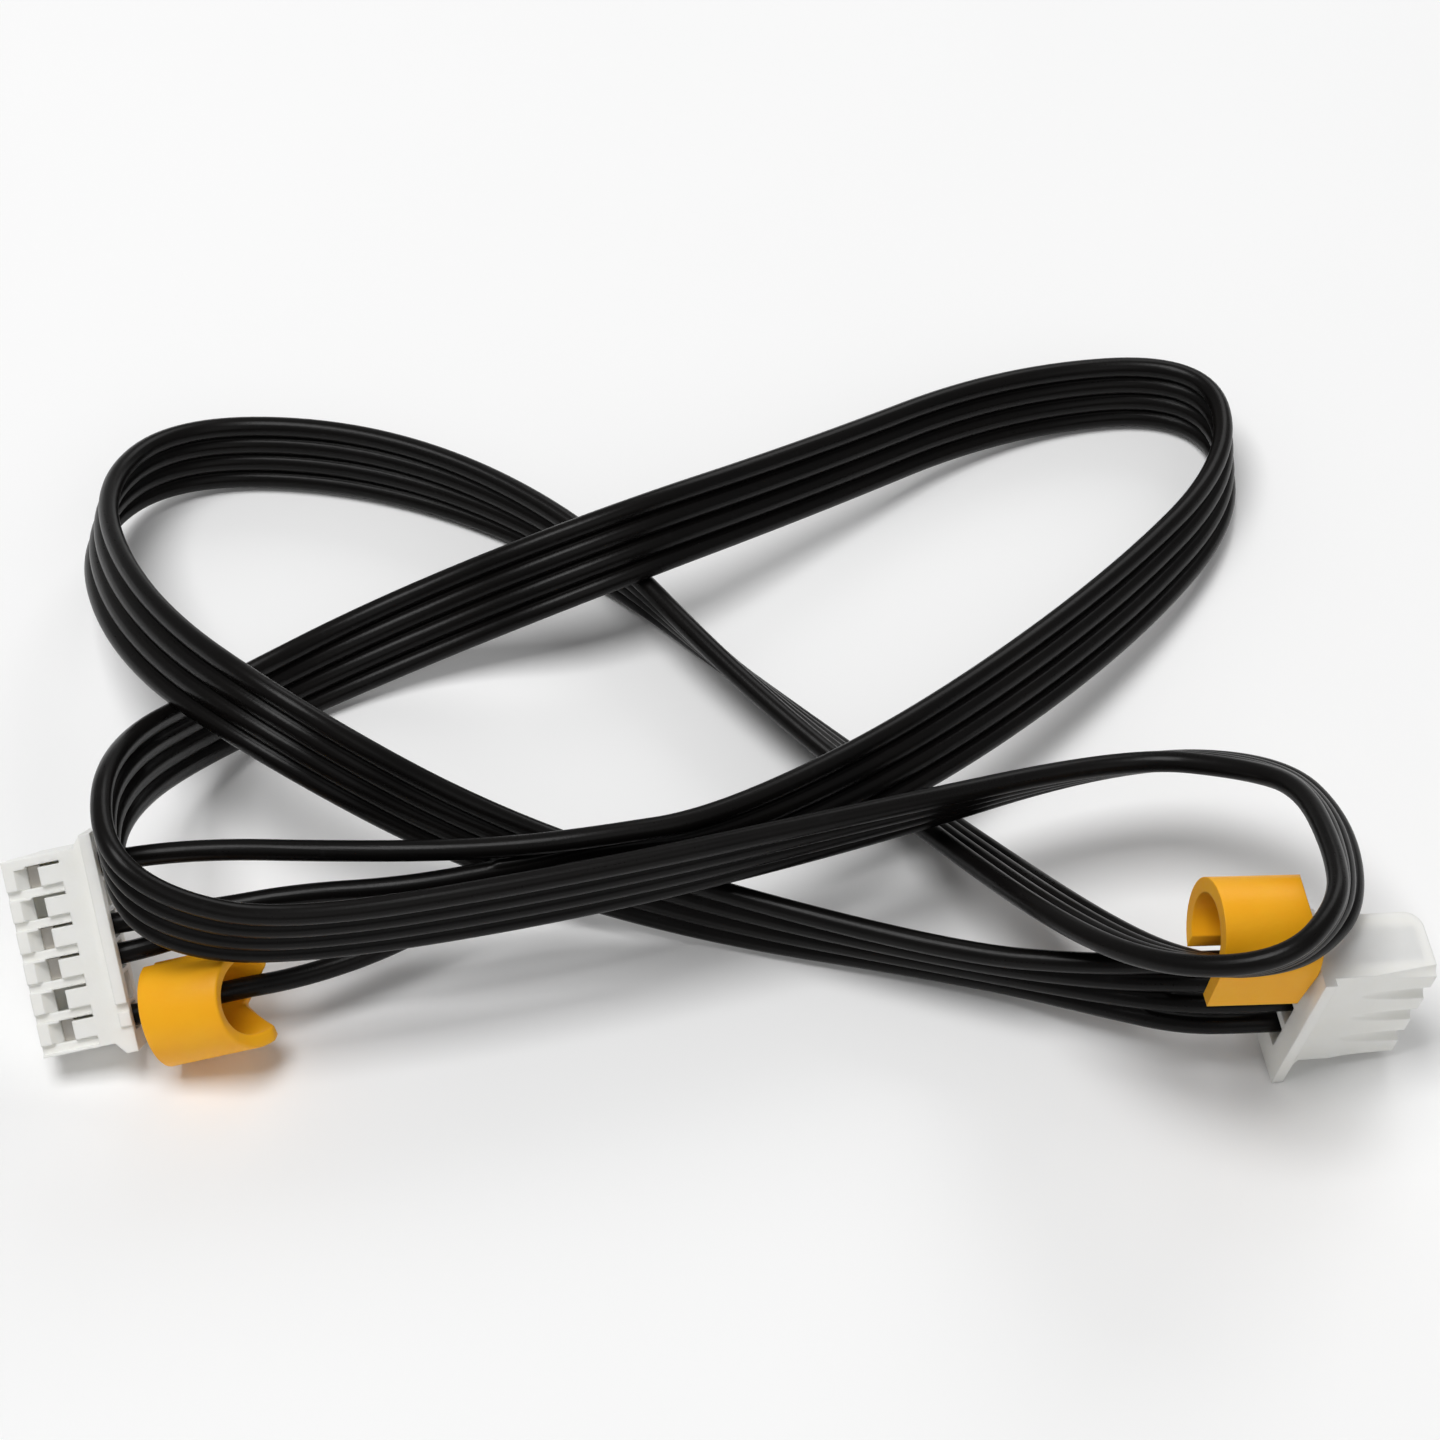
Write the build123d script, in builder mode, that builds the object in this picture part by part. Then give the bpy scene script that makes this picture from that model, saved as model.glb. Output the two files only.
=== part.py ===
"""Stepper motor cable: a four-way flat cord lying in loose flat loops, a six-way
2.0 mm plug on the motor end, a four-way 2.5 mm plug on the board end and a split
marker ring clipped on at each end. Millimetres, Z up, lying on the floor at z = 0."""

import os
from math import radians, sqrt, tan

from build123d import *

os.makedirs("parts", exist_ok=True)

# ---------------------------------------------------------------- driving dimensions
# the cord
wire_diameter = 1.34
bond_pitch = 1.46
core_diameter = 0.6
clearance = 0.02
wire_in_plug = 2.3
core_in_plug = 3.4
straight_lead = 1.6

# the motor plug: six ways, four of them wired
motor_pitch = 2.0
motor_ways = 6
motor_wired_ways = (0, 2, 3, 5)
motor_length = 6.0
motor_body_row = 12.7
motor_body_depth = 3.7
motor_flange_row = 14.2
motor_flange_depth = 4.5
motor_flange_thick = 0.75
motor_slope_end = 1.35
motor_cavity_row = 1.7
motor_cavity_depth = 1.9
motor_front_wall = 0.6
motor_pin_hole = 0.9
motor_window_row = 1.35
motor_window_near = 0.7
motor_window_deep = 1.45
motor_window_far = 2.25
motor_tongue_row = 1.2
motor_slot_end = 3.65
motor_thin_slot = 0.2
motor_wide_slot = 0.58
motor_wide_slot_deep = 0.32
motor_corner_cut = 1.9
motor_corner_step = 0.6
motor_end_wall = 0.5
motor_neck = 0.38
motor_bar_end = 3.9
motor_block_start = 4.45
motor_block_end = 5.4

# the board plug: four ways, all wired
board_pitch = 2.5
board_ways = 4
board_length = 7.8
board_body_row = 9.7
board_body_depth = 4.6
board_flange_depth = 5.75
board_flange_thick = 0.8
board_flange_over = 1.65
board_gusset = 1.5
board_cavity_row = 1.9
board_cavity_depth = 2.4
board_front_wall = 0.7
board_pin_hole = 1.2
board_corner = 1.2
board_groove_radius = 0.62
board_groove_start = 3.4
board_groove_depth = 0.6
board_neck = 0.68

# the crimp terminals, one size for each plug
sheet = 0.13
crimp_start = 0.6
crimp_run = 1.1
crimp_step = 0.35
core_crimp_run = 0.6
motor_socket = (1.34, 1.66)
board_socket = (1.6, 2.0)
motor_strip = 0.6
board_strip = 0.7

# the split marker rings
marker_outside = 7.0
marker_wall = 0.95
motor_marker_length = 6.8
board_marker_length = 6.5
marker_slit = 1.8
marker_notch = 2.6
marker_notch_over = 0.6
marker_leg = 2.9
marker_top_chamfer = 0.9
marker_foot_chamfer = 0.6

# ---------------------------------------------------------------- where the plugs lie
# seat: middle of the flange's back face; row: from way 1 to the last way;
# mating: the way the plug is pushed home
motor_seat = (-37.9, 0.48, 6.57)
motor_row = (0.206, -0.702, -0.682)
motor_mating = (-0.979, -0.141, -0.151)
board_seat = (36.29, -3.77, 6.79)
board_row = (-0.20, 0.057, -0.978)
board_mating = (0.961, 0.205, -0.185)
motor_frame = Plane(origin=motor_seat, x_dir=motor_row, z_dir=motor_mating)
board_frame = Plane(origin=board_seat, x_dir=board_row, z_dir=board_mating)
motor_marker_seat = (-35.43, -3.17, 3.51)
motor_marker_axis = (0.979, 0.141, 0.12)
board_marker_seat = (30.52, -3.58, 12.44)
board_marker_axis = (0.965, 0.17, -0.18)

# ---------------------------------------------------------------- where the cord lies
# middle of the flat cord: x, y, z, and how far the cord's edge leans in x and in y
ribbon = [
    (-7.63, 5.41, 9.51, 0.20, -0.30),
    (0.37, 5.91, 9.11, 0.00, 0.10),
    (13.37, 15.01, 7.81, -0.15, 0.35),
    (27.37, 30.11, 5.01, -0.20, 0.30),
    (36.37, 43.11, 3.51, -0.05, 0.15),
    (34.87, 53.11, 3.01, 0.00, 0.15),
    (20.37, 51.11, 3.01, 0.00, 0.25),
    (6.37, 40.61, 6.01, -0.05, 0.35),
    (-7.13, 31.31, 9.51, -0.25, 0.45),
    (-21.63, 29.11, 3.01, -0.25, 0.40),
    (-33.63, 20.91, 3.21, 0.10, 0.35),
    (-37.63, 7.61, 13.51, 0.05, 0.40),
    (-37.73, 0.11, 14.81, 0.10, -0.10),
    (-34.63, -3.49, 13.01, 0.15, -0.30),
    (-27.13, -2.89, 10.31, 0.20, -0.20),
    (-9.13, 1.21, 10.31, 0.05, -0.15),
    (9.37, 7.21, 9.81, 0.10, -0.25),
    (26.87, 13.11, 8.51, -0.10, -0.50),
    (38.37, 9.81, 12.01, -0.60, -0.10),
    (39.87, -5.39, 15.81, -0.10, 0.10),
    (32.87, -11.89, 16.71, -0.20, -0.30),
    (23.87, -2.89, 11.31, -0.70, -0.40),
    (15.37, 13.11, 2.21, -0.65, -0.40),
    (2.87, 24.11, 3.01, -0.35, -0.40),
    (-9.13, 37.61, 3.01, 0.00, -0.05),
    (-23.13, 45.61, 3.01, 0.10, 0.20),
    (-38.13, 46.61, 3.01, 0.10, 0.15),
    (-43.13, 37.61, 6.01, 0.10, 0.20),
    (-38.63, 22.51, 11.11, 0.15, 0.30),
    (-27.63, 10.71, 14.31, 0.25, 0.15),
    (-15.63, 9.11, 6.01, 0.35, 0.05),
    (-1.63, 6.11, 3.01, 0.10, 0.05),
    (15.87, 0.61, 3.51, -0.15, -0.15),
    (24.37, -1.89, 5.01, -0.25, -0.10),
]
# the single wires between the motor plug and the flat cord
motor_split = [
    [(-31.63, 4.61, 10.71), (-25.23, 4.11, 10.51), (-18.83, 4.01, 11.11), (-12.83, 4.31, 11.51)],
    [(-31.63, 1.91, 8.31), (-26.43, 3.01, 8.91), (-19.53, 3.21, 9.51), (-13.03, 4.41, 9.91)],
    [(-31.43, 1.51, 6.81), (-26.23, 2.71, 7.31), (-19.63, 3.31, 8.01), (-13.23, 4.81, 8.61)],
    [(-31.03, -1.99, 4.31), (-26.23, -0.29, 3.51), (-20.43, 1.51, 3.91), (-13.63, 4.71, 6.61)],
]
# and between the flat cord and the board plug
board_split = [
    [(29.77, -2.49, 8.41)],
    [(29.77, -2.89, 6.81)],
    [(29.67, -3.49, 4.91)],
    [(29.67, -3.59, 2.81)],
]


# ---------------------------------------------------------------- helpers
def motor_way(index):
    """Where a way lies along the motor plug's row."""
    return (index - (motor_ways - 1) / 2) * motor_pitch


def board_way(index):
    """Where a way lies along the board plug's row."""
    return (index - (board_ways - 1) / 2) * board_pitch


def side_of(frame):
    """The plane of a plug's side view: X is the mating way, Y is the plug's depth."""
    return Plane(origin=frame.origin, x_dir=frame.z_dir, z_dir=-frame.x_dir)


def face_of(frame):
    """The plane of a plug's face view: X is the row, Y is the mating way."""
    return Plane(origin=frame.origin, x_dir=frame.x_dir, z_dir=-frame.y_dir)


def in_plug(frame, way, ahead):
    """A point on a way's axis, so far ahead of the flange's back face."""
    return frame.from_local_coords(Vector(way, 0, ahead))


def wire_route(index):
    """Points of one wire from inside the motor plug to inside the board plug."""
    from_way = motor_way(motor_wired_ways[index])
    to_way = board_way(index)
    lean = (1.5 - index) * bond_pitch
    points = [in_plug(motor_frame, from_way, wire_in_plug)]
    points.append(in_plug(motor_frame, from_way, -straight_lead))
    points += [Vector(*point) for point in motor_split[index]]
    for x, y, z, lean_x, lean_y in ribbon:
        edge = Vector(lean_x, lean_y, sqrt(1 - lean_x**2 - lean_y**2))
        points.append(Vector(x, y, z) + edge * lean)
    points += [Vector(*point) for point in board_split[index]]
    points.append(in_plug(board_frame, to_way, -straight_lead))
    points.append(in_plug(board_frame, to_way, wire_in_plug))
    return points


def bend_radii(points):
    """One bend radius a corner: as round as the shorter run beside it allows."""
    radii = []
    for before, corner, after in zip(points, points[1:], points[2:]):
        run_in = corner - before
        run_out = after - corner
        half_turn = radians(run_in.get_angle(run_out)) / 2
        radii.append(0.45 * min(run_in.length, run_out.length) / tan(half_turn))
    return radii


def finish(part, name):
    """Label one sub-part and write its file."""
    part.label = name
    export_step(part, "parts/" + name + ".step")


# ---------------------------------------------------------------- the motor plug
with BuildPart() as motor_plug_housing:
    # the face view's outline, its ends sloping out to the flange
    flange_end = motor_flange_row / 2
    body_end = motor_body_row / 2
    with BuildSketch(face_of(motor_frame).offset(-motor_body_depth / 2)):
        with BuildLine():
            Polyline(
                (-flange_end, 0),
                (flange_end, 0),
                (flange_end, motor_flange_thick),
                (body_end, motor_slope_end),
                (body_end, motor_length),
                (-body_end, motor_length),
                (-body_end, motor_slope_end),
                (-flange_end, motor_flange_thick),
                close=True,
            )
        make_face()
    extrude(amount=motor_body_depth)
    # the flange: full depth along the bar, level with the body past it
    flange_half = motor_flange_depth / 2
    body_half = motor_body_depth / 2
    with BuildSketch(motor_frame):
        with Locations((0, -(flange_half + body_half) / 2)):
            Rectangle(motor_flange_row, flange_half - body_half)
        with Locations(((motor_bar_end - flange_end) / 2, (flange_half + body_half) / 2)):
            Rectangle(motor_bar_end + flange_end, flange_half - body_half)
        block_middle = (motor_block_start + motor_block_end) / 2
        with Locations((block_middle, body_half + (flange_half - body_half) / 4)):
            Rectangle(motor_block_end - motor_block_start, (flange_half - body_half) / 2)
    extrude(amount=motor_flange_thick)
    # one through cavity a way, narrowed to a pin hole at the front
    with BuildSketch(motor_frame):
        with GridLocations(motor_pitch, 0, motor_ways, 1):
            Rectangle(motor_cavity_row, motor_cavity_depth)
    extrude(amount=motor_length - motor_front_wall, mode=Mode.SUBTRACT)
    with BuildSketch(motor_frame.offset(motor_length - motor_front_wall)):
        with GridLocations(motor_pitch, 0, motor_ways, 1):
            Rectangle(motor_pin_hole, motor_pin_hole)
    extrude(amount=motor_front_wall, mode=Mode.SUBTRACT)
    # sloped windows onto the terminals
    for index in range(motor_ways):
        with BuildSketch(side_of(motor_frame).offset(-motor_way(index))):
            with BuildLine():
                Polyline(
                    (motor_length - motor_window_far, motor_cavity_depth / 2 - clearance),
                    (motor_length - motor_window_far, body_half),
                    (motor_length - motor_window_near, body_half),
                    (motor_length - motor_window_deep, motor_cavity_depth / 2 - clearance),
                    close=True,
                )
            make_face()
        extrude(amount=motor_window_row / 2, both=True, mode=Mode.SUBTRACT)
    # beside each tongue, a thin slot through the wall and a wide shallow one that
    # runs on to the mating edge and parts the fingers
    wall = (motor_body_depth - motor_cavity_depth) / 2
    tongue_end = motor_length - motor_slot_end
    window_end = motor_length - motor_window_deep
    thin_run = window_end - tongue_end
    wide_run = motor_length - tongue_end
    thin_across = -(motor_tongue_row + motor_thin_slot) / 2
    wide_across = (motor_tongue_row + motor_wide_slot) / 2
    for across, width, run, depth in (
        (thin_across, motor_thin_slot, thin_run, wall),
        (wide_across, motor_wide_slot, wide_run, motor_wide_slot_deep),
    ):
        with BuildSketch(face_of(motor_frame).offset(-body_half)):
            with Locations((across, tongue_end + run / 2)):
                with GridLocations(motor_pitch, 0, motor_ways, 1):
                    Rectangle(width, run)
        extrude(amount=depth, mode=Mode.SUBTRACT)
    # the end walls' back mating corners cut away
    for end in (-1, 1):
        with BuildSketch(side_of(motor_frame).offset(-end * body_end)):
            with BuildLine():
                Polyline(
                    (motor_length, -body_half),
                    (motor_length, body_half - wall),
                    (motor_length - motor_corner_cut, -body_half + motor_corner_step),
                    (motor_length - motor_corner_cut, -body_half),
                    close=True,
                )
            make_face()
        extrude(amount=end * motor_end_wall, mode=Mode.SUBTRACT)
finish(motor_plug_housing.part, "motor_plug_housing")


# ---------------------------------------------------------------- the board plug
with BuildPart() as board_plug_housing:
    board_end = board_body_row / 2
    board_half = board_body_depth / 2
    # the face view's outline: body, and the flange's tapered tongue past the last way
    with BuildSketch(face_of(board_frame).offset(-board_half)):
        with BuildLine():
            Polyline(
                (-board_end, 0),
                (board_end + board_flange_over, 0),
                (board_end + board_flange_over, board_flange_thick),
                (board_end, board_gusset),
                (board_end, board_length),
                (-board_end, board_length),
                close=True,
            )
        make_face()
    extrude(amount=board_body_depth)
    with BuildSketch(board_frame):
        with Locations((board_flange_over / 2, 0)):
            Rectangle(board_body_row + board_flange_over, board_flange_depth)
    extrude(amount=board_flange_thick)
    # the far mating corner is well rounded
    front = board_plug_housing.faces().sort_by(Axis(board_seat, board_mating))[-1]
    corner = front.edges().sort_by(Axis(board_seat, tuple(board_frame.y_dir)))[-1]
    fillet(corner, radius=board_corner)
    # cavities and pin holes
    with BuildSketch(board_frame):
        with GridLocations(board_pitch, 0, board_ways, 1):
            Rectangle(board_cavity_row, board_cavity_depth)
    extrude(amount=board_length - board_front_wall, mode=Mode.SUBTRACT)
    with BuildSketch(board_frame.offset(board_length - board_front_wall)):
        with GridLocations(board_pitch, 0, board_ways, 1):
            Rectangle(board_pin_hole, board_pin_hole)
    extrude(amount=board_front_wall, mode=Mode.SUBTRACT)
    # grooves between the ribs, deepening towards the mating end
    groove_run = board_length - board_groove_start
    slope = board_groove_depth / groove_run
    for index in range(board_ways + 1):
        across = (index - board_ways / 2) * board_pitch
        start = Vector(across, -board_half - board_groove_radius, board_groove_start)
        with BuildSketch(
            Plane(
                origin=board_frame.from_local_coords(start),
                x_dir=board_frame.x_dir,
                z_dir=board_frame.z_dir + board_frame.y_dir * slope,
            )
        ):
            Circle(board_groove_radius)
        extrude(amount=groove_run + 1, mode=Mode.SUBTRACT)
finish(board_plug_housing.part, "board_plug_housing")


# ---------------------------------------------------------------- the crimp terminals
def crimp_terminal(frame, way, front, neck, socket, half_strip):
    """A folded sheet terminal: insulation crimp, core crimp, stepped neck, box socket."""
    row, depth = socket
    low = -depth / 2
    ring = wire_diameter / 2 + clearance / 2 + sheet
    step = -core_diameter / 2 - clearance / 2 - sheet
    back = core_in_plug + neck
    rise = wire_in_plug + clearance
    core_start = rise + crimp_step
    with BuildPart() as terminal:
        # the sheet's side view: it steps up to the core and down again to the box
        with BuildSketch(side_of(frame).offset(-way)):
            with BuildLine():
                Polyline(
                    (crimp_start, -ring),
                    (rise, -ring),
                    (core_start, step),
                    (core_in_plug, step),
                    (back, low),
                    (front, low),
                    (front, low + sheet),
                    (back, low + sheet),
                    (core_in_plug, step + sheet),
                    (core_start, step + sheet),
                    (rise, -ring + sheet),
                    (crimp_start, -ring + sheet),
                    close=True,
                )
            make_face()
        extrude(amount=half_strip, both=True)
        # wings folded round the insulation, then round the bare core
        for start, run_on, outside in (
            (crimp_start, crimp_run, ring),
            (core_start, core_crimp_run, -step),
        ):
            with BuildSketch(frame.offset(start)):
                with Locations((way, 0)):
                    Circle(outside)
            extrude(amount=run_on)
        with BuildSketch(frame.offset(back)):
            with Locations((way, 0)):
                Rectangle(row, depth)
                Rectangle(row - 2 * sheet, depth - 2 * sheet, mode=Mode.SUBTRACT)
        extrude(amount=front - back)
        # the wire's and the core's own room
        with BuildSketch(frame):
            with Locations((way, 0)):
                Circle(wire_diameter / 2 + clearance / 2)
        extrude(amount=rise, mode=Mode.SUBTRACT)
        with BuildSketch(frame):
            with Locations((way, 0)):
                Circle(core_diameter / 2 + clearance / 2)
        extrude(amount=core_in_plug + clearance, mode=Mode.SUBTRACT)
    return terminal.part


for index in motor_wired_ways:
    front = motor_length - motor_front_wall - clearance
    way = motor_way(index)
    body = crimp_terminal(motor_frame, way, front, motor_neck, motor_socket, motor_strip / 2)
    finish(body, "motor_plug_terminal_" + str(index + 1))
for index in range(board_ways):
    front = board_length - board_front_wall - clearance
    way = board_way(index)
    body = crimp_terminal(board_frame, way, front, board_neck, board_socket, board_strip / 2)
    finish(body, "board_plug_terminal_" + str(index + 1))


# ---------------------------------------------------------------- the marker rings
marker_radius = marker_outside / 2
marker_bore = marker_radius - marker_wall
motor_marker_plane = Plane(origin=motor_marker_seat, x_dir=(0, 0, 1), z_dir=motor_marker_axis)
with BuildPart() as motor_end_marker:
    with BuildSketch(motor_marker_plane):
        Circle(marker_radius)
        Circle(marker_bore, mode=Mode.SUBTRACT)
    extrude(amount=motor_marker_length)
    # a slit along the back, and a V cut out of the far end
    with BuildSketch(motor_marker_plane):
        with Locations(Location((0, 0), 128)):
            with Locations((marker_radius, 0)):
                Rectangle(marker_outside, marker_slit)
    extrude(amount=motor_marker_length, mode=Mode.SUBTRACT)
    notch_facing = motor_marker_plane.from_local_coords(Vector(0.77, 0.64, 0))
    cut_side = Plane(
        origin=motor_marker_plane.origin,
        x_dir=motor_marker_plane.z_dir,
        z_dir=notch_facing - motor_marker_plane.origin,
    )
    notch_end = motor_marker_length + marker_notch_over
    notch_half = marker_radius * (marker_notch + marker_notch_over) / marker_notch
    with BuildSketch(cut_side):
        with BuildLine():
            Polyline(
                (motor_marker_length - marker_notch, 0),
                (notch_end, notch_half),
                (notch_end, -notch_half),
                close=True,
            )
        make_face()
    extrude(amount=marker_outside, both=True, mode=Mode.SUBTRACT)
finish(motor_end_marker.part, "motor_end_marker")

board_marker_plane = Plane(origin=board_marker_seat, x_dir=(0, 1, 0), z_dir=board_marker_axis)
with BuildPart() as board_end_marker:
    # sprung open over its wires: a ring open below, its near side a straight leg
    with BuildSketch(board_marker_plane):
        Circle(marker_radius)
        Circle(marker_bore, mode=Mode.SUBTRACT)
        with Locations((-marker_bore / 2, -marker_radius / 2)):
            Rectangle(marker_bore, marker_radius, mode=Mode.SUBTRACT)
        with Locations((marker_slit / 4, -marker_radius)):
            Rectangle(marker_slit, marker_radius, mode=Mode.SUBTRACT)
        with Locations((-marker_radius / 2, -marker_radius / 2)):
            Rectangle(marker_radius, marker_radius, mode=Mode.SUBTRACT)
        with Locations((-marker_radius + marker_wall / 2, -marker_leg / 2)):
            Rectangle(marker_wall, marker_leg)
    extrude(amount=board_marker_length)
    # the end by the plug is cut to a blunt point
    facing = Plane(
        origin=board_marker_plane.origin,
        x_dir=board_marker_plane.z_dir,
        z_dir=-board_marker_plane.x_dir,
    )
    end = board_marker_length
    with BuildSketch(facing):
        with BuildLine():
            Polyline(
                (end - marker_top_chamfer, marker_radius + clearance),
                (end, marker_radius / 2),
                (end + marker_wall, marker_radius / 2),
                (end + marker_wall, marker_radius + clearance),
                close=True,
            )
        make_face()
        with BuildLine():
            Polyline(
                (end, 0),
                (end - marker_foot_chamfer, -marker_radius),
                (end + marker_wall, -marker_radius),
                (end + marker_wall, 0),
                close=True,
            )
        make_face()
    extrude(amount=marker_outside, both=True, mode=Mode.SUBTRACT)
finish(board_end_marker.part, "board_end_marker")


# ---------------------------------------------------------------- the cord
def stripped_wire(points, radii):
    """One insulated wire along tangent straights and arcs, its core bared at both ends."""
    with BuildPart() as wire:
        with BuildLine():
            route = FilletPolyline(*points, radius=radii)
        with BuildSketch(Plane(origin=route @ 0, z_dir=route % 0)):
            Circle(wire_diameter / 2)
        sweep(path=route)
        rod = wire.part.volume
        for end in (Plane(origin=route @ 0, z_dir=-(route % 0)), Plane(origin=route @ 1, z_dir=route % 1)):
            with BuildSketch(end):
                Circle(core_diameter / 2)
            extrude(amount=core_in_plug - wire_in_plug)
    length = route.length
    section = 3.14159265 / 4 * wire_diameter**2
    print("least radius", round(min(radii), 2), "length", round(length, 1), end=" ")
    print("volume over section x length", round(rod / (length * section), 4), end=" ")
    print("bared ends", round(wire.part.volume - rod, 3))
    return wire.part


for index, letter in enumerate("abcd"):
    points = wire_route(index)
    radii = bend_radii(points)
    print("wire", letter, "radii", [round(radius, 1) for radius in radii])
    finish(stripped_wire(points, radii), "wire_" + letter)
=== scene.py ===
"""Stepper motor cable: flat four-way cord, two nylon plugs and two marker rings."""

from math import cos, pi, radians, sin, sqrt

import bmesh
import bpy
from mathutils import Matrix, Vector


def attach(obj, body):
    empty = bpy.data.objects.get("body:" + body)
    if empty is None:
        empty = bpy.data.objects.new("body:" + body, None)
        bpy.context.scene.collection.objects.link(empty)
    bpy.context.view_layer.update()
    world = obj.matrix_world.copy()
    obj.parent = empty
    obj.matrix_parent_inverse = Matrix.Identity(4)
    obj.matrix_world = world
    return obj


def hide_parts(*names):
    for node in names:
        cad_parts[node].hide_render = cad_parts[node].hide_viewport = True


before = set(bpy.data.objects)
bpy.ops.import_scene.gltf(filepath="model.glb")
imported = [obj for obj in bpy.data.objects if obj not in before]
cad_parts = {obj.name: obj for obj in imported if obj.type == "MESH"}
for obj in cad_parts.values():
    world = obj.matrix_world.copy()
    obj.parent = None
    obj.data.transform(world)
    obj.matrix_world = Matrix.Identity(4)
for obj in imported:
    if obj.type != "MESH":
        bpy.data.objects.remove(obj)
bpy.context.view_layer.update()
scene = bpy.context.scene

# ---------------------------------------------------------------- camera
camera = bpy.data.objects.new("camera", bpy.data.cameras.new("camera"))
camera.data.lens = 110
camera.data.sensor_width = 36
camera.data.clip_start = 0.02
camera.data.clip_end = 20
camera.location = (0.00037, -0.16888, 0.23001)
camera.rotation_euler = (radians(40), 0, 0)
scene.collection.objects.link(camera)
scene.camera = camera

# ---------------------------------------------------------------- sizes, in metres
WIRE = 0.00138  # outside diameter of one wire's insulation
BOND_PITCH = 0.0015  # from middle to middle of neighbouring wires in the flat cord
BONDED_BELOW = 0.00172  # wires nearer than this are joined by a bond
BOND_HALF = 0.00021  # half a bond's thickness
BOND_OVERLAP = 0.00001  # how far a bond's two halves run into each other
WIRE_IN_PLUG = 0.0023
STRAIGHT_LEAD = 0.0016
WIRE_CORNERS = 32  # round a wire
LINE_STEPS = 18  # between two points of a wire's route
LINE_ORDER = 3  # of the smooth spline

# where each plug's wires leave it: the row's middle, its way along the row, the
# way the plug mates, and each wire's place in the row
MOTOR_SEAT = Vector((-0.0379, 0.00048, 0.00657))
MOTOR_ROW = Vector((0.206, -0.702, -0.682)).normalized()
MOTOR_MATING = Vector((-0.979, -0.141, -0.151)).normalized()
MOTOR_WAYS = (-0.005, -0.001, 0.001, 0.005)
BOARD_SEAT = Vector((0.03629, -0.00377, 0.00679))
BOARD_ROW = Vector((-0.20, 0.057, -0.978)).normalized()
BOARD_MATING = Vector((0.961, 0.205, -0.185)).normalized()
BOARD_WAYS = (-0.00375, -0.00125, 0.00125, 0.00375)

# the motor end's marker
MARKER_RADIUS = 0.0034
MARKER_WALL = 0.0009
MARKER_LENGTH = 0.0069
MARKER_START = Vector((-0.0353, -0.00309, 0.00325))  # middle of the end by the plug
MARKER_AXIS = Vector((0.941, -0.001, 0.339)).normalized()
MARKER_FRONT = Vector((0, -0.643, 0.766))
MARKER_STEPS = 88  # round the sleeve
SADDLE_DEPTH = 0.0016
CLEFT_DEPTH = 0.0022
RIM_BEVEL = 0.00016
# and its turns in degrees, from its front upwards and over
SLIT_TURN = 88
SLIT_WIDTH = 30
SADDLE_TURN = -12
SADDLE_HALF = 95  # from its middle to its edge
CLEFT_TURN = 193
CLEFT_HALF = 48
SHARP_EDGE = 40  # an edge sharper than this is bevelled

# middle of the flat cord: x, y, z, and how far the cord's edge leans in x and in y
RIBBON = (
    (-0.00763, 0.00506, 0.00966, 0.15, -0.22),
    (0.00037, 0.00580, 0.00926, -0.05, 0.28),
    (0.01352, 0.01469, 0.00781, -0.25, 0.45),
    (0.02770, 0.02960, 0.00501, -0.32, 0.42),
    (0.03690, 0.04294, 0.00351, -0.20, 0.15),
    (0.03490, 0.05312, 0.00301, 0.10, 0.08),
    (0.02035, 0.05135, 0.00301, 0.00, 0.25),
    (0.00628, 0.04095, 0.00601, -0.05, 0.33),
    (-0.00713, 0.03131, 0.00951, -0.25, 0.47),
    (-0.02175, 0.02940, 0.00301, -0.30, 0.48),
    (-0.03385, 0.02152, 0.00306, 0.08, 0.35),
    (-0.03818, 0.00800, 0.01338, -0.14, 0.38),
    (-0.03798, 0.00011, 0.01481, -0.05, -0.08),
    (-0.03452, -0.00298, 0.01301, 0.20, -0.02),
    (-0.02713, -0.00256, 0.01031, 0.20, -0.13),
    (-0.00913, 0.00113, 0.01031, 0.05, -0.12),
    (0.00941, 0.00700, 0.00981, 0.10, -0.25),
    (0.02687, 0.01385, 0.00851, 0.00, -0.63),
    (0.03550, 0.01095, 0.01110, -0.58, -0.58),
    (0.03865, 0.00616, 0.01296, -0.66, 0.05),
    (0.03920, -0.00115, 0.01486, -0.40, 0.25),
    (0.03760, -0.00580, 0.01604, 0.20, 0.05),
    (0.03440, -0.00890, 0.01650, 0.10, -0.54),
    (0.02940, -0.00795, 0.01460, -0.55, -0.52),
    (0.02390, -0.00288, 0.01131, -0.78, -0.33),
    (0.01516, 0.01273, 0.00221, -0.65, -0.42),
    (0.00287, 0.02411, 0.00301, -0.38, -0.46),
    (-0.00900, 0.03784, 0.00301, 0.00, -0.05),
    (-0.02309, 0.04581, 0.00301, 0.10, 0.22),
    (-0.03817, 0.04686, 0.00301, 0.10, 0.17),
    (-0.04340, 0.03761, 0.00601, 0.28, 0.20),
    (-0.03858, 0.02232, 0.01128, 0.38, 0.34),
    (-0.02755, 0.01077, 0.01448, 0.30, 0.20),
    (-0.01563, 0.00911, 0.00601, 0.38, 0.10),
    (-0.00172, 0.00567, 0.00301, 0.10, 0.05),
    (0.01589, 0.00073, 0.00351, -0.15, -0.33),
    (0.02437, -0.00212, 0.00501, -0.20, 0.01),
)
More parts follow.
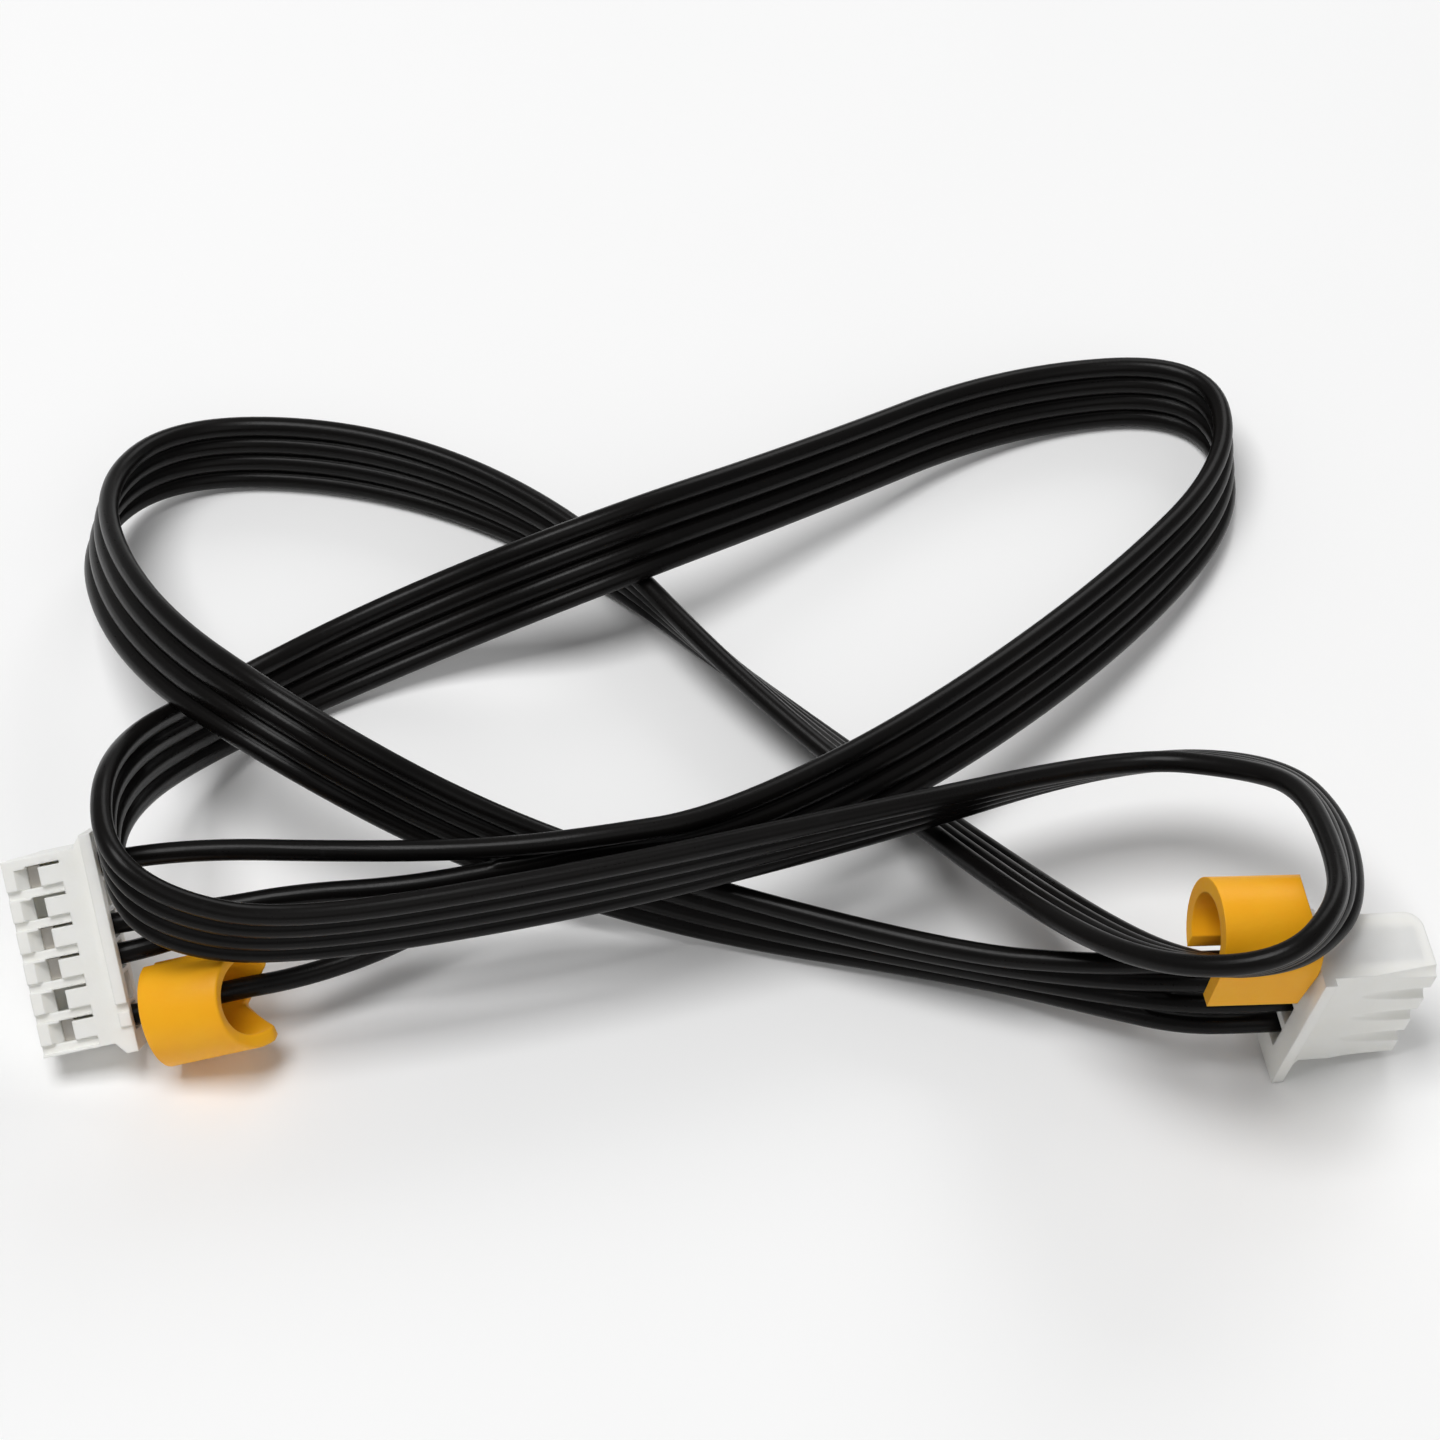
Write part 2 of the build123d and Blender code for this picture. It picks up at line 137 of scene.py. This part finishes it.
# the single wires between the motor plug and the flat cord
MOTOR_SPLIT = (
    (
        (-0.03163, 0.00445, 0.01071),
        (-0.02523, 0.00445, 0.01051),
        (-0.01883, 0.00395, 0.01111),
        (-0.01283, 0.00395, 0.01151),
    ),
    (
        (-0.03163, 0.00150, 0.00831),
        (-0.02643, 0.00222, 0.00891),
        (-0.01953, 0.00231, 0.00951),
        (-0.01303, 0.00351, 0.00991),
    ),
    (
        (-0.03143, 0.00151, 0.00681),
        (-0.02623, 0.00271, 0.00731),
        (-0.01963, 0.00331, 0.00801),
        (-0.01323, 0.00450, 0.00861),
    ),
    (
        (-0.03103, -0.00199, 0.00431),
        (-0.02623, -0.00029, 0.00351),
        (-0.02043, 0.00200, 0.00391),
        (-0.01363, 0.00471, 0.00661),
    ),
)
# and between the flat cord and the board plug
BOARD_SPLIT = (
    (0.02977, -0.00260, 0.00815),
    (0.02977, -0.00300, 0.00658),
    (0.02967, -0.00345, 0.00490),
    (0.02967, -0.00365, 0.00300),
)


# ---------------------------------------------------------------- the cord's lines
def wire_route(index):
    """Points of one wire from inside the motor plug to inside the board plug."""
    start = MOTOR_SEAT + MOTOR_ROW * MOTOR_WAYS[index]
    end = BOARD_SEAT + BOARD_ROW * BOARD_WAYS[index]
    from_middle = (1.5 - index) * BOND_PITCH
    points = [start + MOTOR_MATING * WIRE_IN_PLUG, start - MOTOR_MATING * STRAIGHT_LEAD]
    points += [Vector(point) for point in MOTOR_SPLIT[index]]
    for x, y, z, lean_x, lean_y in RIBBON:
        edge = Vector((lean_x, lean_y, sqrt(1 - lean_x**2 - lean_y**2)))
        points.append(Vector((x, y, z)) + edge * from_middle)
    points.append(Vector(BOARD_SPLIT[index]))
    points += [end - BOARD_MATING * STRAIGHT_LEAD, end + BOARD_MATING * WIRE_IN_PLUG]
    return points


def smooth_line(points):
    """Points along the smooth spline that a route's points control."""
    curve = bpy.data.curves.new("route", "CURVE")
    curve.dimensions = "3D"
    curve.resolution_u = LINE_STEPS
    spline = curve.splines.new("NURBS")
    spline.points.add(len(points) - 1)
    for place, point in zip(spline.points, points):
        place.co = (*point, 1)
    spline.order_u = LINE_ORDER
    spline.use_endpoint_u = True
    holder = bpy.data.objects.new("route", curve)
    line = bpy.data.meshes.new_from_object(holder)
    followed = [vertex.co.copy() for vertex in line.vertices]
    bpy.data.objects.remove(holder)
    bpy.data.curves.remove(curve)
    bpy.data.meshes.remove(line)
    return followed


def run_length(line):
    return sum((after - before).length for before, after in zip(line, line[1:]))


lines = [smooth_line(wire_route(index)) for index in range(4)]


# ---------------------------------------------------------------- materials
COLOUR_FACTOR, FIRST_COLOUR, SECOND_COLOUR = 0, 6, 7  # a Mix node's colour sockets
MIXED_COLOUR = 2
OBJECT_PLACE = 3  # a Texture Coordinate node's output
ROUNDING_SAMPLES = 6


class Value:
    """A node's output; sums with it add Math nodes."""

    def __init__(self, tree, socket):
        self.tree = tree
        self.socket = socket

    def sum(self, operation, first, second):
        node = self.tree.nodes.new("ShaderNodeMath")
        node.operation = operation
        for place, value in zip(node.inputs, (first, second)):
            if isinstance(value, Value):
                self.tree.links.new(value.socket, place)
            else:
                place.default_value = value
        return Value(self.tree, node.outputs[0])

    def __add__(self, other):
        return self.sum("ADD", self, other)

    def __radd__(self, other):
        return self.sum("ADD", other, self)

    def __mul__(self, other):
        return self.sum("MULTIPLY", self, other)


class Finish:
    """One material: a Principled shader and the nodes that feed it."""

    def __init__(self, name, **constants):
        self.material = bpy.data.materials.new(name)
        self.material.use_nodes = True
        self.tree = self.material.node_tree
        self.shader = self.tree.nodes["Principled BSDF"]
        self.surface(**constants)

    def feed(self, node, socket, value):
        """Gives a node's socket a value, or links a node's output to it."""
        place = node.inputs[socket]
        if isinstance(value, Value):
            self.tree.links.new(value.socket, place)
        else:
            place.default_value = value

    def node(self, kind, settings=None, sockets=None, out=0, stops=None):
        """A node of that kind, its settings first, then its sockets' values or links."""
        node = self.tree.nodes.new("ShaderNode" + kind)
        for name, value in (settings or {}).items():
            setattr(node, name, value)
        if stops:
            ramp = node.color_ramp
            while len(ramp.elements) < len(stops):
                ramp.elements.new(1)
            for element, (place, colour) in zip(ramp.elements, stops):
                element.position = place
                element.color = colour
        for socket, value in (sockets or {}).items():
            self.feed(node, socket, value)
        return Value(self.tree, node.outputs[out])

    def surface(self, **sockets):
        """Feeds the shader's own sockets, and gives the finished material."""
        for socket, value in sockets.items():
            self.feed(self.shader, socket.replace("_", " "), value)
        return self.material

    def place(self, scale=(1, 1, 1)):
        """The piece's own coordinates in metres, stretched."""
        own = self.node("TexCoord", out=OBJECT_PLACE)
        return self.node("Mapping", sockets={"Vector": own, "Scale": scale})

    def along(self, scale):
        """The cord's own map, stretched: once round it, and metres along it."""
        own = self.node("UVMap", {"uv_map": "cord_map"})
        return self.node("Mapping", sockets={"Vector": own, "Scale": scale})

    def noise(self, where, scale, detail, rough=0.5):
        """A cloudy pattern from 0 to 1."""
        sockets = {"Vector": where, "Scale": scale, "Detail": detail, "Roughness": rough}
        return self.node("TexNoise", sockets=sockets)

    def blend(self, amount, first, second):
        """A colour between two, by an amount."""
        sockets = {COLOUR_FACTOR: amount, FIRST_COLOUR: first, SECOND_COLOUR: second}
        return self.node("Mix", {"data_type": "RGBA"}, sockets, out=MIXED_COLOUR)

    def rounded(self, radius):
        """The way the surface faces, with its sharp edges rounded."""
        return self.node("Bevel", {"samples": ROUNDING_SAMPLES}, {"Radius": radius})

    def bump(self, height, distance, strength, under=None):
        """Relief from a height, laid on what lies under it."""
        sockets = {"Height": height, "Distance": distance, "Strength": strength}
        if under:
            sockets["Normal"] = under
        return self.node("Bump", sockets=sockets)


def ramp_stops(low, high):
    """Stops of a ramp from black to white."""
    return [(low, (0, 0, 0, 1)), (high, (1, 1, 1, 1))]


def insulation():
    """Near-black soft vinyl: satin, with faint drawn streaks and handling marks."""
    skin = Finish("black_insulation", Specular_IOR_Level=0.14)
    grain = skin.noise(skin.place(), scale=5200, detail=2.0)
    streaks = skin.noise(skin.along((26, 90, 1)), scale=1.0, detail=3.0)
    clouds = skin.noise(skin.place(), scale=160, detail=4.0)
    scuffs = skin.noise(skin.place(), scale=900, detail=6.0, rough=0.7)
    ends = ramp_stops(low=0.60, high=0.78)
    marks = skin.node("ValToRGB", sockets={"Fac": scuffs}, stops=ends)
    shade = skin.blend(clouds, (0.0025, 0.0025, 0.0026, 1), (0.0065, 0.0055, 0.005, 1))
    colour = skin.blend(marks * 0.25, shade, (0.025, 0.025, 0.026, 1))
    relief = skin.bump(grain, distance=0.000012, strength=0.5)
    relief = skin.bump(streaks, distance=0.00002, strength=0.6, under=relief)
    rough = 0.20 + streaks * 0.12 + grain * 0.08
    return skin.surface(Base_Color=colour, Roughness=rough, Normal=relief)


def nylon():
    """Natural white nylon: waxy, faintly clouded, moulded edges a little rounded."""
    skin = Finish(
        "white_nylon",
        Subsurface_Weight=0.5,
        Subsurface_Scale=0.0007,
        Subsurface_Radius=(1.0, 0.97, 0.9),
        IOR=1.5,
    )
    clouds = skin.noise(skin.place(), scale=420, detail=4.0)
    grain = skin.noise(skin.place(), scale=7000, detail=2.0)
    flow = skin.noise(skin.place((1, 1, 0.3)), scale=1500, detail=3.0)
    colour = skin.blend(clouds, (0.88, 0.87, 0.82, 1), (0.94, 0.94, 0.91, 1))
    edges = skin.rounded(radius=0.00013)
    relief = skin.bump(grain, distance=0.000008, strength=0.5, under=edges)
    relief = skin.bump(flow, distance=0.00002, strength=0.5, under=relief)
    rough = 0.36 + clouds * 0.10 + grain * 0.08
    return skin.surface(Base_Color=colour, Roughness=rough, Normal=relief)


def tinned_bronze():
    """Tinned phosphor bronze strip: bright, rolled along its length."""
    skin = Finish("tinned_bronze", Metallic=1.0)
    rolled = skin.noise(skin.place((0.3, 1, 1)), scale=9000, detail=3.0)
    tarnish = skin.noise(skin.place(), scale=1100, detail=4.0)
    colour = skin.blend(tarnish, (0.62, 0.56, 0.47, 1), (0.80, 0.78, 0.74, 1))
    relief = skin.bump(rolled, distance=0.000006, strength=0.6)
    rough = 0.22 + tarnish * 0.16 + rolled * 0.08
    return skin.surface(Base_Color=colour, Roughness=rough, Normal=relief)


def marker_vinyl():
    """Yellow marker sleeve: semi-gloss vinyl with a pebbled skin."""
    skin = Finish(
        "yellow_vinyl",
        Subsurface_Weight=0.12,
        Subsurface_Scale=0.0008,
        Subsurface_Radius=(1.0, 0.55, 0.1),
        Specular_IOR_Level=0.25,
    )
    pebble = skin.noise(skin.place(), scale=2600, detail=4.0, rough=0.6)
    clouds = skin.noise(skin.place(), scale=300, detail=3.0)
    colour = skin.blend(clouds, (0.97, 0.40, 0.006, 1), (1.0, 0.50, 0.016, 1))
    edges = skin.rounded(radius=0.00012)
    relief = skin.bump(pebble, distance=0.00003, strength=0.6, under=edges)
    rough = 0.34 + pebble * 0.18
    return skin.surface(Base_Color=colour, Roughness=rough, Normal=relief)


black = insulation()
white = nylon()
bronze = tinned_bronze()
yellow = marker_vinyl()


# ---------------------------------------------------------------- pieces
def finished_mesh(shape, name, material):
    """A bmesh made into a mesh of one material."""
    mesh = bpy.data.meshes.new(name)
    shape.to_mesh(mesh)
    shape.free()
    mesh.materials.append(material)
    return mesh


def add_piece(name, mesh):
    """A piece on the root body."""
    piece = bpy.data.objects.new(name, mesh)
    scene.collection.objects.link(piece)
    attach(piece, "root")
    return piece


# ---------------------------------------------------------------- the cord's wires
def across_cord(step):
    """The way across the flat cord, at one step of all four lines."""
    before, after = max(step - 1, 0), min(step + 1, len(lines[0]) - 1)
    ahead = sum((line[after] - line[before] for line in lines), Vector()).normalized()
    across = lines[3][step] - lines[0][step]
    return (across - ahead * across.dot(ahead)).normalized()


def bond_reach(index, other, step):
    """Half the way to the neighbouring wire where the two are bonded, or nothing."""
    if not 0 <= other <= 3:
        return 0.0
    gap = (lines[other][step] - lines[index][step]).length
    return gap / 2 + BOND_OVERLAP if gap < BONDED_BELOW else 0.0


def ring_points(index, step):
    """One ring of a wire: round, with a bond towards each neighbour it is joined to."""
    line = lines[index]
    before, after = max(step - 1, 0), min(step + 1, len(line) - 1)
    own = (line[after] - line[before]).normalized()
    across = across_cord(step)
    across = (across - own * across.dot(own)).normalized()
    over = own.cross(across)
    points = []
    for corner in range(WIRE_CORNERS):
        turn = 2 * pi * corner / WIRE_CORNERS
        right, up = WIRE / 2 * cos(turn), WIRE / 2 * sin(turn)
        side = 1 if right > 0 else -1
        if side > 0:
            near = min(corner, WIRE_CORNERS - corner)
        else:
            near = abs(corner - WIRE_CORNERS // 2)
        reach = bond_reach(index, index + side, step)
        if near <= 1 and reach > abs(right):
            right = side * reach
            up = near * BOND_HALF * (1 if up > 0 else -1)
        points.append(line[step] + across * right + over * up)
    return points


def wire_mesh(index, name):
    """A wire's insulation as one closed tube, with its own map along the wire."""
    shape = bmesh.new()
    cord_map = shape.loops.layers.uv.new("cord_map")
    line = lines[index]
    rings = []
    travelled = [0.0]
    for step in range(len(line)):
        rings.append([shape.verts.new(point) for point in ring_points(index, step)])
        if step:
            travelled.append(travelled[-1] + (line[step] - line[step - 1]).length)
    for step in range(len(line) - 1):
        here, ahead = rings[step], rings[step + 1]
        start, end = travelled[step], travelled[step + 1]
        for corner in range(WIRE_CORNERS):
            following = (corner + 1) % WIRE_CORNERS
            corners = (here[corner], here[following], ahead[following], ahead[corner])
            face = shape.faces.new(corners)
            face.smooth = True
            turns = (corner, corner + 1, corner + 1, corner)
            for loop, turn, run in zip(face.loops, turns, (start, start, end, end)):
                loop[cord_map].uv = (turn / WIRE_CORNERS, run)
    shape.faces.new(rings[0][::-1])
    shape.faces.new(rings[-1])
    bmesh.ops.recalc_face_normals(shape, faces=shape.faces)
    return finished_mesh(shape, name, black)


for index, letter in enumerate("abcd"):
    node = "wire_" + letter
    wire = add_piece(node + "_insulation", wire_mesh(index, node))
    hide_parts(node)
    round(run_length(lines[index]), 4)


# ---------------------------------------------------------------- the motor end's marker
def marker_reach(turn):
    """How far the marker's wall runs along it, at a turn from its front."""
    from_saddle = ((turn - SADDLE_TURN + 180) % 360 - 180) / SADDLE_HALF
    from_cleft = (turn % 360 - CLEFT_TURN) / CLEFT_HALF
    saddle = SADDLE_DEPTH * max(0, 1 - from_saddle**2)
    cleft = CLEFT_DEPTH * max(0, 1 - abs(from_cleft))
    return MARKER_LENGTH - saddle - cleft


def marker_mesh(name):
    """A split sleeve, its far end cut back by a wide saddle in front and a cleft behind."""
    shape = bmesh.new()
    axis = MARKER_AXIS
    front = (MARKER_FRONT - axis * MARKER_FRONT.dot(axis)).normalized()
    above = front.cross(axis)
    strips = []
    for step in range(MARKER_STEPS + 1):
        turn = SLIT_TURN + SLIT_WIDTH / 2 + (360 - SLIT_WIDTH) * step / MARKER_STEPS
        out = front * cos(radians(turn)) + above * sin(radians(turn))
        outer = MARKER_START + out * MARKER_RADIUS
        inner = MARKER_START + out * (MARKER_RADIUS - MARKER_WALL)
        far = axis * marker_reach(turn)
        corners = (outer, outer + far, inner + far, inner)
        strips.append([shape.verts.new(corner) for corner in corners])
    for first, second in zip(strips, strips[1:]):
        for corner in range(4):
            after = (corner + 1) % 4
            shape.faces.new((first[corner], first[after], second[after], second[corner]))
    shape.faces.new(strips[0][::-1])
    shape.faces.new(strips[-1])
    bmesh.ops.recalc_face_normals(shape, faces=shape.faces)
    rims = [edge for edge in shape.edges if edge.calc_face_angle() > radians(SHARP_EDGE)]
    bmesh.ops.bevel(
        shape,
        geom=rims,
        offset=RIM_BEVEL,
        affect="EDGES",
        segments=3,
        profile=0.5,
        material=-1,
        clamp_overlap=True,
    )
    for face in shape.faces:
        face.smooth = True
    return finished_mesh(shape, name, yellow)


sleeve = "motor_end_marker_sleeve"
marker = add_piece(sleeve, marker_mesh(sleeve))
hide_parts("motor_end_marker")


# ---------------------------------------------------------------- finishes on the solids
def dress(node, material):
    """Gives a node's own slots their finish."""
    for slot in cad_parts[node].material_slots:
        slot.material = material


for plug in ("motor_plug", "board_plug"):
    dress(plug + "_housing", white)
for way in (1, 3, 4, 6):
    dress("motor_plug_terminal_" + str(way), bronze)
for way in (1, 2, 3, 4):
    dress("board_plug_terminal_" + str(way), bronze)
dress("board_end_marker", yellow)


# ---------------------------------------------------------------- floor and lights
def pale_floor():
    """A matt floor, near white and faintly clouded, that keeps the shadows."""
    skin = Finish("pale_floor", Roughness=0.9, Specular_IOR_Level=0.1)
    clouds = skin.noise(skin.place(), scale=30, detail=2.0)
    colour = skin.blend(clouds, (0.96, 0.96, 0.96, 1), (0.98, 0.98, 0.98, 1))
    return skin.surface(Base_Color=colour)


def stage_floor():
    """The floor the cable lies on, no part of the cable itself."""
    shape = bmesh.new()
    bmesh.ops.create_grid(shape, x_segments=1, y_segments=1, size=3)
    floor = bpy.data.objects.new("floor", finished_mesh(shape, "floor", pale_floor()))
    scene.collection.objects.link(floor)


def softbox(name, place, size, power):
    """A square soft light that faces the cable."""
    light = bpy.data.lights.new(name, "AREA")
    light.size = size
    light.energy = power
    lamp = bpy.data.objects.new(name, light)
    lamp.location = place
    lamp.rotation_euler = (-Vector(place)).to_track_quat("-Z", "Y").to_euler()
    scene.collection.objects.link(lamp)


stage_floor()
softbox("key_light", (-0.25, -0.05, 1.0), size=0.5, power=6.9)
softbox("back_light", (0.3, 0.8, 0.6), size=0.5, power=2.0)
softbox("fill_light", (0.3, -0.7, 0.7), size=0.6, power=0.7)

world = bpy.data.worlds.new("studio")
world.use_nodes = True
background = world.node_tree.nodes["Background"]
background.inputs["Color"].default_value = (1, 1, 1, 1)
background.inputs["Strength"].default_value = 0.25
scene.world = world
scene.view_settings.view_transform = "Standard"
